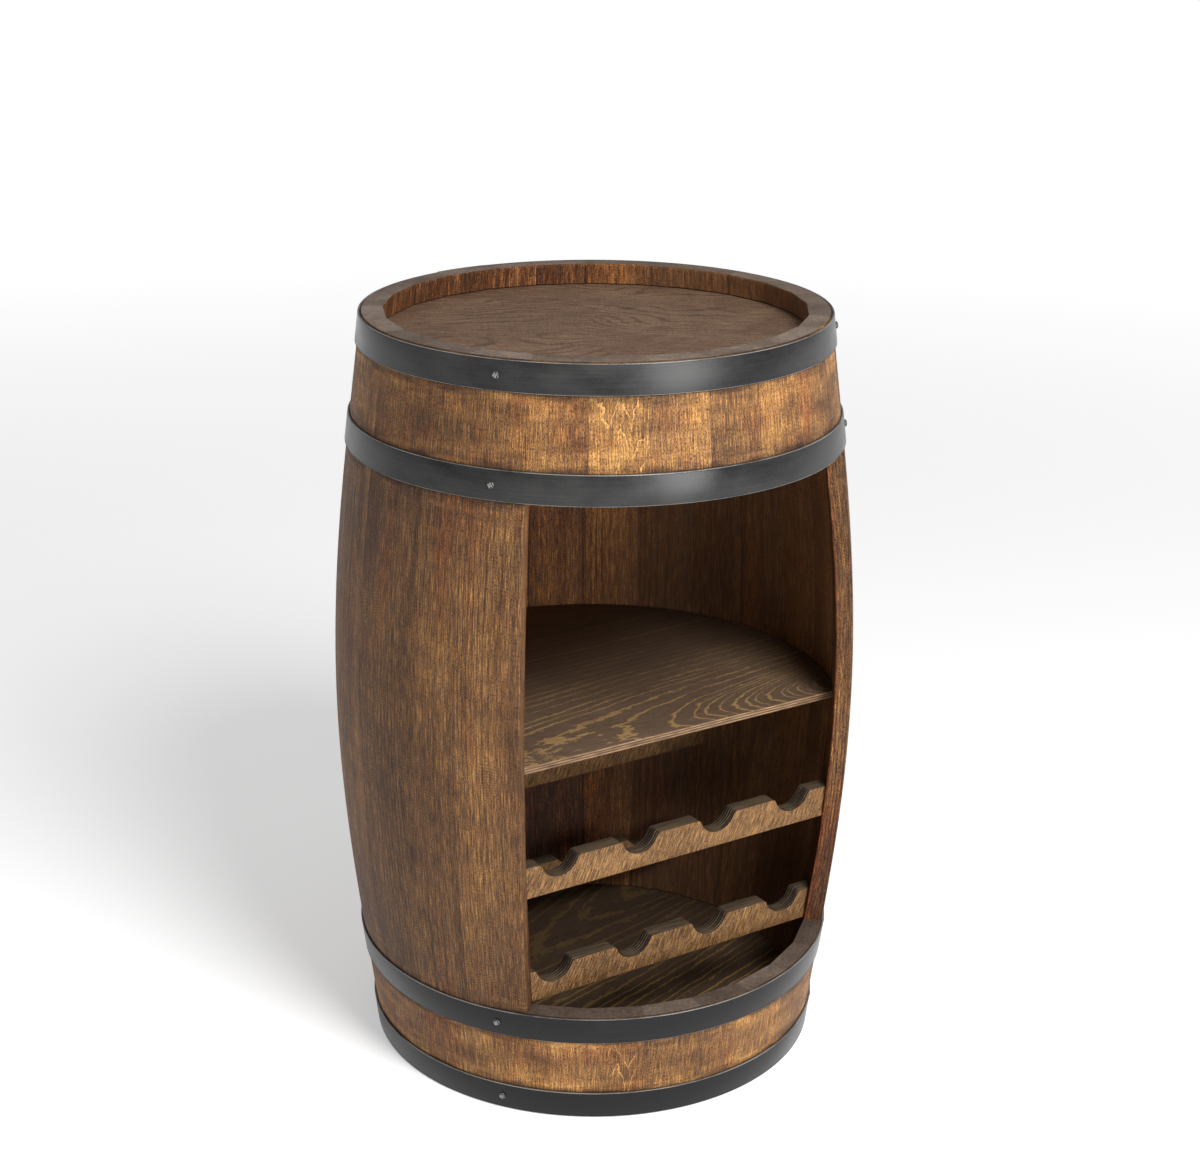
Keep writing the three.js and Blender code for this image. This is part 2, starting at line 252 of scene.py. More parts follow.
class Graph:
    """A material and short ways to add nodes to it."""

    def __init__(self, name):
        self.material = bpy.data.materials.new(name)
        self.material.use_nodes = True
        self.tree = self.material.node_tree
        self.shader = self.tree.nodes["Principled BSDF"]

    def node(self, kind, inputs=(), output=0, **settings):
        node = self.tree.nodes.new(kind)
        for key, value in settings.items():
            setattr(node, key, value)
        for key, value in dict(inputs).items():
            self.feed(node.inputs[key], value)
        return Signal(self, node.outputs[output])

    def feed(self, socket, value):
        if isinstance(value, Signal):
            self.tree.links.new(value.socket, socket)
        else:
            socket.default_value = value

    def math(self, operation, a, b=0.0):
        return self.node("ShaderNodeMath", {0: a, 1: b}, operation=operation)

    def attribute(self, name):
        return self.node("ShaderNodeAttribute", output="Vector", attribute_name=name)

    def split(self, vector):
        parts = self.node("ShaderNodeSeparateXYZ", {0: vector})
        outputs = parts.socket.node.outputs
        return [Signal(self, outputs[i]) for i in range(3)]

    def join(self, x, y, z):
        return self.node("ShaderNodeCombineXYZ", {0: x, 1: y, 2: z})

    def stretch(self, vector, scale):
        return self.node("ShaderNodeVectorMath", {0: vector, 1: scale}, operation="MULTIPLY")

    def turn(self, vector, degrees):
        inputs = {"Vector": vector, "Angle": math.radians(degrees)}
        return self.node("ShaderNodeVectorRotate", inputs, rotation_type="Z_AXIS")

    def noise(self, vector, scale, detail=2.0, roughness=0.5, distortion=0.0):
        inputs = {
            "Vector": self.stretch(vector, scale),
            "Scale": 1.0,
            "Detail": detail,
            "Roughness": roughness,
            "Distortion": distortion,
        }
        return self.node("ShaderNodeTexNoise", inputs)

    def ease(self, value, low, high, start=0.0, end=1.0):
        """Smooth step of a value from start at low to end at high."""
        inputs = {"Value": value, "From Min": low, "From Max": high, "To Min": start, "To Max": end}
        return self.node("ShaderNodeMapRange", inputs, interpolation_type="SMOOTHSTEP")

    def blend(self, factor, a, b, mode="MIX"):
        """Mix of two colours, which are sockets 6 and 7 of the node and leave it at socket 2."""
        inputs = {0: factor, 6: a, 7: b}
        settings = {"data_type": "RGBA", "blend_type": mode, "clamp_factor": True}
        return self.node("ShaderNodeMix", inputs, output=2, **settings)

    def ramp(self, value, stops):
        """Colour ramp through (position, colour) stops."""
        ramp = self.node("ShaderNodeValToRGB", {0: value})
        elements = ramp.socket.node.color_ramp.elements
        while len(elements) < len(stops):
            elements.new(0.5)
        for element, (position, colour) in zip(elements, stops):
            element.position = position
            element.color = colour
        return ramp

    def bump(self, height, distance):
        return self.node("ShaderNodeBump", {"Height": height, "Distance": distance, "Strength": 1.0})

    def set(self, **values):
        """Inputs of the shader, with underscores for the spaces in their names."""
        for key, value in values.items():
            self.feed(self.shader.inputs[key.replace("_", " ")], value)


def srgb(red, green, blue):
    """Screen colour, 0 to 255, as the linear colour that a shader takes."""
    def linear(c):
        c /= 255
        return c / 12.92 if c <= 0.04045 else ((c + 0.055) / 1.055) ** 2.4
    return (linear(red), linear(green), linear(blue), 1.0)


def fibres(g, grain):
    """Fine streaks along the grain, and the dark pores among them. Both are 0 to 1."""
    streaks = g.noise(grain, (900, 44, 900), detail=2, roughness=0.6)
    specks = g.noise(grain, (1300, 400, 1300), detail=2, roughness=0.6)
    return streaks, g.ease(specks, 0.50, 0.66)


def growth_rings(g, grain, along, pith, tilt):
    """Late wood of the rings round a board's pith, 0 to 1, and how much it darkens the board."""
    u, v, w = along
    pith_u, pith_w = pith
    sway = g.noise(grain, (9, 2.2, 9), detail=3) - 0.5
    du = u - pith_u
    dw = w - pith_w
    rings = g.math("SQRT", du * du + dw * dw) + tilt * v + sway * 0.012
    late = g.ease(g.math("PINGPONG", rings / 0.0036, 0.5), 0.26, 0.46)
    zone = g.ease(g.noise(grain, (13, 2.5, 13), detail=2), 0.42, 0.62)
    return late, (late - 0.3) * (0.05 + zone * 0.13)


def ripples(g, grain, u, v):
    """Fine arched lines across the grain, like fingerprints, which show in some parts of a board."""
    arch = (v + u * u * 8.0) / 0.0031 + (g.noise(grain, (20, 9, 20), detail=2) - 0.5) * 11.0
    ripple = g.ease(g.math("PINGPONG", arch, 0.5), 0.0, 0.4)
    zone = g.ease(g.noise(grain, (26, 13, 26), detail=2), 0.45, 0.66)
    return (ripple - 0.5) * zone


def hoop_nearness(g, z):
    """1 at the hoops' edges and 0 from 30 mm on."""
    near = 0.0
    for bottom in HOOPS.values():
        for mark in (bottom, bottom + HOOP_WIDTH):
            distance = g.math("ABSOLUTE", z - mark / 1000)
            near = g.math("MAXIMUM", near, 1.0 - distance / 0.03)
    return near


def tinted(g, colour, grain):
    """The colour with reddish and greyish parts."""
    hue = g.noise(grain, (16, 3.2, 16), detail=3, roughness=0.6)
    reddish = g.ease(hue, 0.50, 0.68) * 0.32
    greyish = g.ease(hue, 0.32, 0.48, 1.0, 0.0) * 0.3
    colour = g.blend(reddish, colour, srgb(176, 88, 44), "SOFT_LIGHT")
    return g.blend(greyish, colour, srgb(118, 100, 82), "SOFT_LIGHT")


def with_zigzag(g, colour, grain, u, v, figure):
    """The colour with pale zigzag lines, dark on one side, where the board is figured."""
    teeth = g.math("PINGPONG", u / 0.026 + (g.noise(grain, (26, 12, 0), detail=2) - 0.5) * 1.2, 0.5)
    wander = (g.noise(grain, (80, 45, 0), detail=4, roughness=0.65) - 0.5) * 1.5
    zigzag = v / 0.031 + teeth * 2.2 + wander
    pale = g.ease(g.math("PINGPONG", zigzag, 0.5), 0.44, 0.49)
    dark = g.ease(g.math("PINGPONG", zigzag - 0.09, 0.5), 0.34, 0.46)
    middle = g.ease(g.math("ABSOLUTE", u), 0.019, 0.025, 1.0, 0.0)
    spots = g.ease(g.noise(grain, (17, 11, 0), detail=2), 0.44, 0.52) * middle
    colour = g.blend(dark * spots * figure * 0.4, colour, srgb(78, 50, 30))
    return g.blend(pale * spots * figure, colour, srgb(220, 164, 92))


def end_grain(g, grain, point, pith_u, z):
    """Greyer colour of the cut ends, darker at the lower ones."""
    fibre = g.noise(grain, (260, 4, 260), detail=4, roughness=0.7)
    cloud = g.noise(point, (24, 24, 4), detail=3)
    level = fibre * 0.7 + cloud * 0.6 - 0.11 + pith_u * 2.2 - g.ease(z, 0.2, 0.6, 0.16, 0.0)
    return g.ramp(level, [
        (0.2, srgb(68, 58, 51)),
        (0.5, srgb(110, 95, 84)),
        (0.8, srgb(150, 134, 120)),
    ])


def stave_wood():
    """Stained hardwood, with growth rings round each board's own pith."""
    g = Graph("stave_wood")
    grain = g.attribute("grain")
    u, v, w = g.split(grain)
    pith_u, pith_w, tilt = g.split(g.attribute("board"))
    tone, figure, edge = g.split(g.attribute("look"))
    point = g.node("ShaderNodeTexCoord", output="Object")
    x, y, z = g.split(point)
    _, _, up = g.split(g.node("ShaderNodeNewGeometry", output="Normal"))

    late, rings = growth_rings(g, grain, (u, v, w), (pith_u, pith_w), tilt)
    streaks, pores = fibres(g, grain)
    blotch = g.noise(grain, (13, 5.0, 13), detail=3, roughness=0.6)
    broad = g.noise(grain, (75, 1.4, 75), detail=3, roughness=0.6)
    mottle = g.noise(grain, (210, 70, 210), detail=4, roughness=0.7)
    lines = g.noise(grain, (400, 7, 400), detail=2, roughness=0.6)

    # Clouds of stain, wiped on round the barrel between each pair of hoops, and smears beside the hoops
    near = hoop_nearness(g, z)
    outside = g.ease(w, 0.001, 0.004, 1.0, 0.0)
    from_middle = g.math("ABSOLUTE", z - HEIGHT / 2000)
    banded = g.ease(from_middle, 0.27, 0.285) * outside
    wiped = g.noise(point, (10, 10, 34), detail=4, roughness=0.62)
    smear = g.noise(point, (17, 17, 120), detail=4, roughness=0.6)
    # Outside the bands the staves are darker towards the top and the bottom: painted shade
    painted_end_shade = g.ease(from_middle, 0.10, 0.26) * (1.0 - banded) * outside

    # Painted light and shade: the wall inside is darker on the left and lighter on the right, and the inner
    # faces and flanks are darker towards the floor
    inside = g.ease(w, 0.012, 0.016)
    low = (1.0 - outside) * g.ease(z, 0.12, 0.34, -0.14, 0.0)
    shade = inside * g.ease(x, 0.0, 0.2, -0.13, 0.05) + low
    figured = 1.0 + inside * 0.15

    # Arrises rub pale, and some joints inside are dark
    joint = g.ease(edge, -0.8, -0.3, 1.0, 0.0)
    worn = g.ease(edge + (g.noise(grain, (60, 30, 60), detail=2) - 0.5) * 0.8, 0.5, 0.95)

    along = (broad - 0.5) * 0.40 + (lines - 0.5) * 0.30
    level = (
        0.5
        + tone
        + shade
        + worn * 0.2
        - joint * 0.3
        + banded * g.ease(z, 0.3, 0.5, 0.09, 0.03)
        - painted_end_shade * 0.09
        + (blotch - 0.5) * 0.50
        + (along - rings) * figured * (1.0 - banded * 0.6)
        + (mottle - 0.5) * 0.30
        + (streaks - 0.5) * 1.25 * figured
        - (pores - 0.3) * 0.36 * figured
        + ripples(g, grain, u, v) * (0.12 - banded * 0.06)
        + (wiped - 0.5) * (0.25 * outside + 0.52 * banded)
        + (smear - 0.46) * outside * near
    )
    colour = g.ramp(level, [
        (0.0, srgb(40, 26, 17)),
        (0.25, srgb(66, 44, 28)),
        (0.5, srgb(100, 69, 42)),
        (0.75, srgb(144, 102, 58)),
        (1.0, srgb(198, 150, 86)),
    ])
    colour = tinted(g, colour, grain)

    # The bands flush a little redder in spots and the wall inside is redder. On its right the wall inside
    # is painted greyer and lighter: painted light and sheen
    flush = g.ease(g.noise(point, (24, 24, 30), detail=2), 0.48, 0.72) * banded
    colour = g.blend(flush * 0.15, colour, srgb(190, 100, 46), "SOFT_LIGHT")
    colour = g.blend(inside * 0.3, colour, srgb(176, 88, 44), "SOFT_LIGHT")
    painted_light_right = inside * g.ease(x, 0.08, 0.22, 0.06, 0.55) * g.ease(y, -0.16, -0.12)
    colour = g.blend(painted_light_right, colour, srgb(100, 76, 56))
    colour = with_zigzag(g, colour, grain, u, v, figure)

    # Dark bands beside the hoops on the outside: partly grime, partly painted shadow of the hoops. The thin
    # dark line right at each hoop edge is painted contact shadow
    grime_and_shade_noise = g.noise(point, (22, 22, 75), detail=4, roughness=0.65)
    mark = g.ease(near + (grime_and_shade_noise - 0.5) * 0.9, 0.74, 1.04) * outside
    hoop_contact_shadow = g.ease(near, 0.94, 0.985) * outside
    colour = g.blend(mark * 0.62, colour, srgb(42, 29, 22))
    colour = g.blend(hoop_contact_shadow * 0.5, colour, srgb(28, 20, 15))

    # Cut ends
    end = g.ease(g.math("ABSOLUTE", up), 0.75, 0.95)
    colour = g.blend(end * 0.92, colour, end_grain(g, grain, point, pith_u, z))

    height = streaks * 0.5 + mottle * 0.4 - pores * 0.7 - late * 0.2
    roughness = 0.50 + streaks * 0.16 + mark * 0.1
    g.set(Base_Color=colour, Roughness=roughness, Normal=g.bump(height, 0.00034))
    g.set(Specular_IOR_Level=0.24)
    return g.material


def board_space(g, turned):
    """Object coordinates turned about Z so that the grain runs along y."""
    return g.turn(g.node("ShaderNodeTexCoord", output="Object"), turned)


def dark_ply(name, turned, pith, reach, loop, inner, rings_in, rings_out, ground, pale):
    """Stained softwood ply: pale rings in long loops on a dark ground, and plies on the edges.

    The grain is turned from Y by so many degrees. The loops' tips lie on the line that runs pith metres to
    the side of the middle, the last of them at reach. A larger loop value gives wider loops. The rings are
    rings_in apart up to the distance inner from the tips' line, and rings_out beyond it.
    """
    g = Graph(name)
    grain = board_space(g, turned)
    u, v, _ = g.split(grain)
    side = u - pith
    hills = g.noise(grain, (11, 3.5, 0), detail=2) - 0.5
    distance = g.math("SQRT", side * side + g.math("MAXIMUM", (reach - v) * loop, 0.0)) + hills * 0.016
    crowded = g.math("MINIMUM", distance, inner) / rings_in
    years = crowded + g.math("MAXIMUM", distance - inner, 0.0) / rings_out
    season = g.noise(g.join(years, 0.0, 0.0), (0.45, 0, 0), detail=2) - 0.5
    teeth = g.noise(grain, (260, 120, 0), detail=2) - 0.5
    jitter = g.noise(grain, (95, 34, 0), detail=4, roughness=0.6) - 0.5
    tips = g.ease(g.math("ABSOLUTE", side), 0.014, 0.036, 1.0, 0.0) * g.ease(v, -0.03, 0.02, 1.0, 0.0)
    rings = years + season * 2.4 + jitter * (0.75 + tips * 1.3) + teeth * 0.3
    phase = g.math("PINGPONG", rings, 0.5)
    strength = g.noise(g.join(rings, 7.0, 0.0), (1.1, 0, 0), detail=0) - 0.5
    width = g.noise(grain, (24, 9, 0), detail=3) * 0.24 + strength * 0.26 + tips * 0.02
    line = g.ease(phase + width, 0.49, 0.57)
    gaps = g.ease(g.noise(grain, (12, 4, 0), detail=3, roughness=0.6), 0.30, 0.48)
    streaks, pores = fibres(g, grain)
    blotch = g.noise(grain, (9, 5, 0), detail=3)
    # Towards the back the board is darker and its pale rings fainter: painted shade
    _, depth, _ = g.split(g.node("ShaderNodeTexCoord", output="Object"))
    painted_back_shade = g.ease(depth, -0.03, 0.16, 0.0, 0.16)
    level = 0.5 + (streaks - 0.5) * 0.8 + (blotch - 0.5) * 0.5 - (pores - 0.3) * 0.2 - painted_back_shade
    colour = g.ramp(level, ground)
    painted_shade_fade = g.ease(depth, -0.14, 0.06, 0.92, 0.28)
    colour = g.blend(line * gaps * painted_shade_fade, colour, g.ramp(level, pale))
    colour = ply_edges(g, colour, grain)
    height = streaks * 0.4 + line * 0.6 - pores * 0.5
    g.set(Base_Color=colour, Roughness=0.52 + streaks * 0.14, Normal=g.bump(height, 0.00025))
    g.set(Specular_IOR_Level=0.25)
    return g.material


def ply_edges(g, colour, grain):
    """Plies on the upright edges of a lying board."""
    _, _, z = g.split(g.node("ShaderNodeTexCoord", output="Object"))
    _, _, up = g.split(g.node("ShaderNodeNewGeometry", output="Normal"))
    ply = g.math("FRACT", z / 0.0027 + (g.noise(grain, (12, 12, 0)) - 0.5) * 0.14)
    band = g.ease(ply, 0.38, 0.5) * g.ease(ply, 0.88, 1.0, 1.0, 0.0)
    fleck = g.noise(grain, (60, 60, 500), detail=3)
    dark = g.ramp(fleck, [(0.3, srgb(58, 43, 32)), (0.7, srgb(94, 71, 52))])
    pale = g.ramp(fleck, [(0.3, srgb(102, 78, 56)), (0.7, srgb(158, 125, 92))])
    side = g.ease(g.math("ABSOLUTE", up), 0.35, 0.75, 1.0, 0.0)
    return g.blend(side, colour, g.blend(band, dark, pale))


def tray_ply():
    """Stained hardwood ply with a fine swirling figure."""
    g = Graph("tray_ply")
    grain = board_space(g, -62)
    u, _, _ = g.split(grain)
    hills = g.noise(grain, (4.6, 3.0, 0), detail=2)
    jitter = g.noise(grain, (70, 40, 0), detail=4, roughness=0.6)
    rings = u / 0.014 + (hills - 0.5) * 24.0 + (jitter - 0.5) * 0.8
    line = g.ease(g.math("PINGPONG", rings, 0.5), 0.30, 0.46)
    line_zone = g.ease(g.noise(grain, (9, 9, 0), detail=3), 0.38, 0.54)
    streaks, pores = fibres(g, grain)
    blotch = g.noise(grain, (9, 7, 0), detail=4, roughness=0.65)
    level = (
        0.5
        + (streaks - 0.5) * 1.3
        + (blotch - 0.5) * 0.6
        - line * line_zone * 0.24
        - (pores - 0.3) * 0.45
    )
    colour = g.ramp(level, [
        (0.0, srgb(52, 38, 30)),
        (0.5, srgb(103, 79, 62)),
        (1.0, srgb(154, 124, 98)),
    ])
    height = streaks * 0.5 - pores * 0.6 - line * 0.3
    g.set(Base_Color=colour, Roughness=0.55 + streaks * 0.16, Normal=g.bump(height, 0.00025))
    g.set(Specular_IOR_Level=0.2)
    return g.material


def rail_ply():
    """Birch ply: slanted grain on the faces, and plies along the top and in the notches."""
    g = Graph("rail_ply")
    grain = g.attribute("grain")
    _, _, w = g.split(grain)
    slanted = g.turn(grain, 24)
    dashes = g.noise(slanted, (900, 62, 900), detail=2, roughness=0.6)
    pores = g.ease(g.noise(slanted, (1300, 330, 1300), detail=2, roughness=0.6), 0.5, 0.66)
    tufts = g.noise(slanted, (260, 50, 0), detail=3, roughness=0.65)
    blotch = g.noise(grain, (18, 18, 0), detail=3, roughness=0.6)
    cracks = g.noise(slanted, (120, 16, 0), detail=2, distortion=0.4)
    level = (
        0.5
        + (dashes - 0.5) * 1.8
        + (tufts - 0.5) * 0.55
        + (blotch - 0.5) * 0.6
        - (pores - 0.3) * 0.4
    )
    colour = g.ramp(level, [
        (0.0, srgb(46, 31, 19)),
        (0.5, srgb(99, 70, 43)),
        (1.0, srgb(164, 124, 78)),
    ])
    colour = g.blend(g.ease(cracks, 0.68, 0.76) * 0.5, colour, srgb(206, 166, 114))
    ply = g.math("FRACT", w / 0.0036 + (g.noise(grain, (14, 14, 0)) - 0.5) * 0.16)
    faint = g.ease(g.noise(grain, (20, 20, 330), detail=2), 0.36, 0.6, 0.15, 1.0)
    band = g.ease(ply, 0.56, 0.68) * g.ease(ply, 0.80, 0.92, 1.0, 0.0) * faint
    along = g.noise(grain, (26, 400, 900), detail=3)
    dark = g.ramp(along, [(0.3, srgb(28, 23, 19)), (0.7, srgb(58, 48, 40))])
    pale = g.ramp(along, [(0.3, srgb(88, 74, 58)), (0.7, srgb(160, 136, 106))])
    _, across, up = g.split(g.node("ShaderNodeNewGeometry", output="Normal"))
    side = g.ease(g.math("ABSOLUTE", across), 0.45, 0.8, 1.0, 0.0)
    sanded = g.ease(up, 0.9, 0.99) * 0.6
    colour = g.blend(side, colour, g.blend(band * (1.0 - sanded) + sanded * 0.4, dark, pale))
    height = dashes * 0.5 - pores * 0.6 + band * side * 0.4
    g.set(Base_Color=colour, Roughness=0.52 + dashes * 0.14, Normal=g.bump(height, 0.00028))
    g.set(Specular_IOR_Level=0.2)
    return g.material


def hoop_steel():
    """Charcoal coated strip, pale along its edges: partly worn, partly painted highlight."""
    g = Graph("hoop_steel")
    grain = g.attribute("grain")
    tone, _, edge = g.split(g.attribute("look"))
    cloud = g.noise(grain, (7, 14, 7), detail=5, roughness=0.6)
    grit = g.noise(grain, (900, 900, 900), detail=2)
    drawn = g.noise(grain, (12, 600, 12), detail=3)
    level = 0.5 + tone + (cloud - 0.5) * 1.5 + (grit - 0.5) * 0.4 + (drawn - 0.5) * 0.4
    colour = g.ramp(level, [
        (0.0, srgb(10, 10, 11)),
        (0.5, srgb(28, 28, 29)),
        (1.0, srgb(58, 57, 56)),
    ])
    nick = g.noise(grain, (34, 150, 34), detail=4, roughness=0.75)
    colour = g.blend(g.ease(nick, 0.70, 0.76) * 0.4, colour, srgb(120, 118, 116))
    # Pale edges: partly worn coating, partly painted highlight. The brightest lines, in patches along the
    # edges, are painted highlights
    rub = g.noise(grain, (45, 45, 45), detail=4, roughness=0.7) - 0.5
    worn = g.ease(edge + rub * 1.6, 0.72, 1.15)
    colour = g.blend(worn * 0.6, colour, srgb(128, 126, 124))
    patches = g.ease(g.noise(grain, (14, 14, 14), detail=3), 0.35, 0.6, 0.15, 0.7)
    painted_edge_highlight = g.ease(edge, 0.72, 1.0) * patches
    colour = g.blend(painted_edge_highlight, colour, srgb(160, 154, 148))
    rough = 0.32 + (cloud - 0.5) * 0.5 + (grit - 0.5) * 0.1
    height = grit * 0.5 + drawn * 0.3 + cloud * 1.2
    g.set(Base_Color=colour, Roughness=rough, Normal=g.bump(height, 0.0001))
    g.set(Metallic=0.25, Specular_IOR_Level=0.42)
    return g.material


def screw_steel():
    """Black coated screw, scraped pale where the driver turned in its cross."""
    g = Graph("screw_steel")
    point = g.node("ShaderNodeTexCoord", output="Object")
    x, y, _ = g.split(point)
    grit = g.noise(point, (1500, 1500, 1500), detail=2)
    colour = g.ramp(grit, [(0.35, srgb(26, 26, 27)), (0.7, srgb(62, 61, 60))])
    radius = g.math("SQRT", x * x + y * y)
    arm = g.math("MINIMUM", g.math("ABSOLUTE", x), g.math("ABSOLUTE", y))
    lips = g.ease(arm, 0.0007, 0.0011, 1.0, 0.0) * g.ease(radius, 0.0021, 0.0028, 1.0, 0.0)
    brim = g.ease(radius, 0.0029, 0.0034) * g.ease(grit, 0.4, 0.6)
    colour = g.blend(g.math("MAXIMUM", lips * 0.7, brim * 0.35), colour, srgb(190, 187, 182))
    g.set(Base_Color=colour, Roughness=0.36 + grit * 0.2, Metallic=0.6, Normal=g.bump(grit, 0.00005))
    return g.material


MATERIALS = {
    "stave": stave_wood(),
    "shelf": dark_ply(
        "shelf_ply",
        turned=90,
        pith=0.142,
        reach=0.25,
        loop=0.022,
        inner=0.074,
        rings_in=0.0036,
        rings_out=0.0105,
        ground=[(0.0, srgb(55, 43, 34)), (0.5, srgb(89, 71, 56)), (1.0, srgb(124, 101, 81))],
        pale=[(0.0, srgb(106, 81, 49)), (0.5, srgb(144, 114, 72)), (1.0, srgb(182, 150, 104))],
    ),
    "floor": dark_ply(
        "floor_ply",
        turned=70,
        pith=-0.08,
        reach=0.3,
        loop=0.012,
        inner=0.05,
        rings_in=0.009,
        rings_out=0.0115,
        ground=[(0.0, srgb(44, 34, 26)), (0.5, srgb(76, 60, 46)), (1.0, srgb(108, 88, 67))],
        pale=[(0.0, srgb(102, 78, 40)), (0.5, srgb(142, 112, 62)), (1.0, srgb(176, 144, 88))],
    ),
    "tray": tray_ply(),
    "rail": rail_ply(),
    "hoop": hoop_steel(),
    "screw": screw_steel(),
}


# Staves

def inner_radius(z):
    """Radius of the inner corners, deeper where a groove holds a board."""
    for bottom in (FLOOR_RECESS, TOP_BOARD_TOP - BOARD):
        if bottom - BOARD_FIT <= z <= bottom + BOARD + BOARD_FIT:
            return wall_radius(z) + GROOVE_DEPTH
    return wall_radius(z)


def stave_heights(bottom, top):
    """Heights of a stave's rings, closer together at its rounded ends and at the grooves."""
    marks = {bottom, bottom + CHIME_STEP, bottom + CHIME, bottom + CHIME + FADE}
    marks |= {top, top - CHIME_STEP, top - CHIME, top - CHIME - FADE}
    for groove in (FLOOR_RECESS, TOP_BOARD_TOP - BOARD):
        low = groove - BOARD_FIT
        high = groove + BOARD + BOARD_FIT
        marks |= {low - GROOVE_BEVEL, low, high, high + GROOVE_BEVEL}
    count = max(2, round((top - bottom) / RING_STEP))
    even = [z for z in spread(bottom, top, count) if all(abs(z - mark) > RING_GAP for mark in marks)]
    return sorted(z for z in marks.union(even) if bottom <= z <= top)


def stave_section(start, pitch, outside, inside, arris, worn, seam):
    """Points round a stave at one height, each with its wear, which stays within FADE of an arris.

    An arris inside that isn't worn takes the seam's mark.
    """
    rubbed = [wear or seam for wear in worn]
    low = start + JOINT / 2 / BELLY_RADIUS
    high = start + pitch - JOINT / 2 / BELLY_RADIUS
    section = []
    for shift in (-1, -ARRIS_SPLIT, 0):
        section.append((low + (1 + shift) * arris[0] / outside, outside + shift * arris[0], worn[0]))
    first = low + (arris[0] + FADE) / outside
    last = high - (arris[1] + FADE) / outside
    section += [(azimuth, outside, 0.0) for azimuth in spread(first, last, STAVE_STEPS)]
    for shift in (0, -ARRIS_SPLIT, -1):
        section.append((high - (1 + shift) * arris[1] / outside, outside + shift * arris[1], worn[1]))
    section = [(radius * math.sin(a), -radius * math.cos(a), wear) for a, radius, wear in section]

    def flank(azimuth, radius, wear):
        section.append((radius * math.sin(azimuth), -radius * math.cos(azimuth), wear))

    def facet(share, wear):
        x0, y0 = inside * math.sin(high), -inside * math.cos(high)
        x1, y1 = inside * math.sin(low), -inside * math.cos(low)
        section.append((x0 + (x1 - x0) * share, y0 + (y1 - y0) * share, wear))

    width = 2 * inside * math.sin((high - low) / 2)
    flank(high, outside - arris[1] - FADE, 0.0)
    flank(high, inside + arris[1] + FADE, 0.0)
    flank(high, inside + arris[1], worn[1])
    facet(arris[1] / width, rubbed[1])
    facet((arris[1] + FADE) / width, 0.0)
    facet(1 - (arris[0] + FADE) / width, 0.0)
    facet(1 - arris[0] / width, rubbed[0])
    flank(low, inside + arris[0], worn[0])
    flank(low, inside + arris[0] + FADE, 0.0)
    flank(low, outside - arris[0] - FADE, 0.0)
    return section


def add_stave(name, start, pitch, bottom, top, seam, tone, figure=0.0, worn=(0.0, 0.0)):
    """One stave. worn is how far the arrises at its start and its end have rubbed pale, 0 to 1."""
    centre = start + pitch / 2
    along = random.uniform(0, BOARD_RUN)
    pith_u = random.uniform(-PITH_SIDE, PITH_SIDE)
    pith_w = random.choice((-1, 1)) * random.uniform(*PITH_DEPTH)
    pith = (pith_u, pith_w, random.uniform(-PITH_TILT, PITH_TILT))
    arris = [WORN_ARRIS if amount else SHARP_ARRIS for amount in worn]
    rings, grain, look = [], [], []
    for z in stave_heights(bottom, top):
        end = min(z - bottom, top - z)
        inset = max(0.0, CHIME - end)
        at_chime = min(z, HEIGHT - z) < CHIME
        outside = outer_radius(z) - SKIN - inset * (1.0 if at_chime else CUT_CHAMFER)
        inside = inner_radius(z) + CUT_CHAMFER * inset
        ring = []
        for x, y, wear in stave_section(start, pitch, outside, inside, arris, worn, seam):
            across = x * math.cos(centre) + y * math.sin(centre)
            depth = outer_radius(z) - SKIN - math.hypot(x, y)
            ring.append(place(x, y, z))
            grain.append((across / 1000, z / 1000 + along, depth / 1000))
            look.append((tone, figure, CHIME_WEAR if 0 < end <= CHIME else wear))
        rings.append(ring)
    points, faces = skin(rings)
    attributes = {"grain": grain, "look": look, "board": [pith] * len(grain)}
    add_piece(name + "_wood", points, faces, MATERIALS["stave"], name, attributes)


def seam_mark(number):
    """Mark of a stave's inner arrises, by the last digit of its number."""
    return SEAM_MARKS[number % 10 % len(SEAM_MARKS)]


# Tones of the full staves, from the right edge of the opening round the back to the left one
# The second and third, seen inside on the right, are set lighter, and those on the left side darker: partly
# their own tone, partly painted light and shade
BACK_TONES = [
    -0.09, 0.07, 0.12, 0.07, 0.03, -0.05, 0.08, -0.05, 0.02,
    -0.05, 0.0, -0.03, 0.02, -0.04, -0.06, -0.10, -0.09, -0.03,
]
for i, tone in enumerate(BACK_TONES):
    name = f"stave_{i + 1:02d}"
    start = HALF_OPENING + BACK_PITCH * i
    worn = (JAMB_WEAR[0] if i == 0 else 0.0, JAMB_WEAR[1] if i == BACK_STAVES - 1 else 0.0)
    add_stave(name, start, BACK_PITCH, 0, HEIGHT, seam_mark(i + 1), tone, worn=worn)

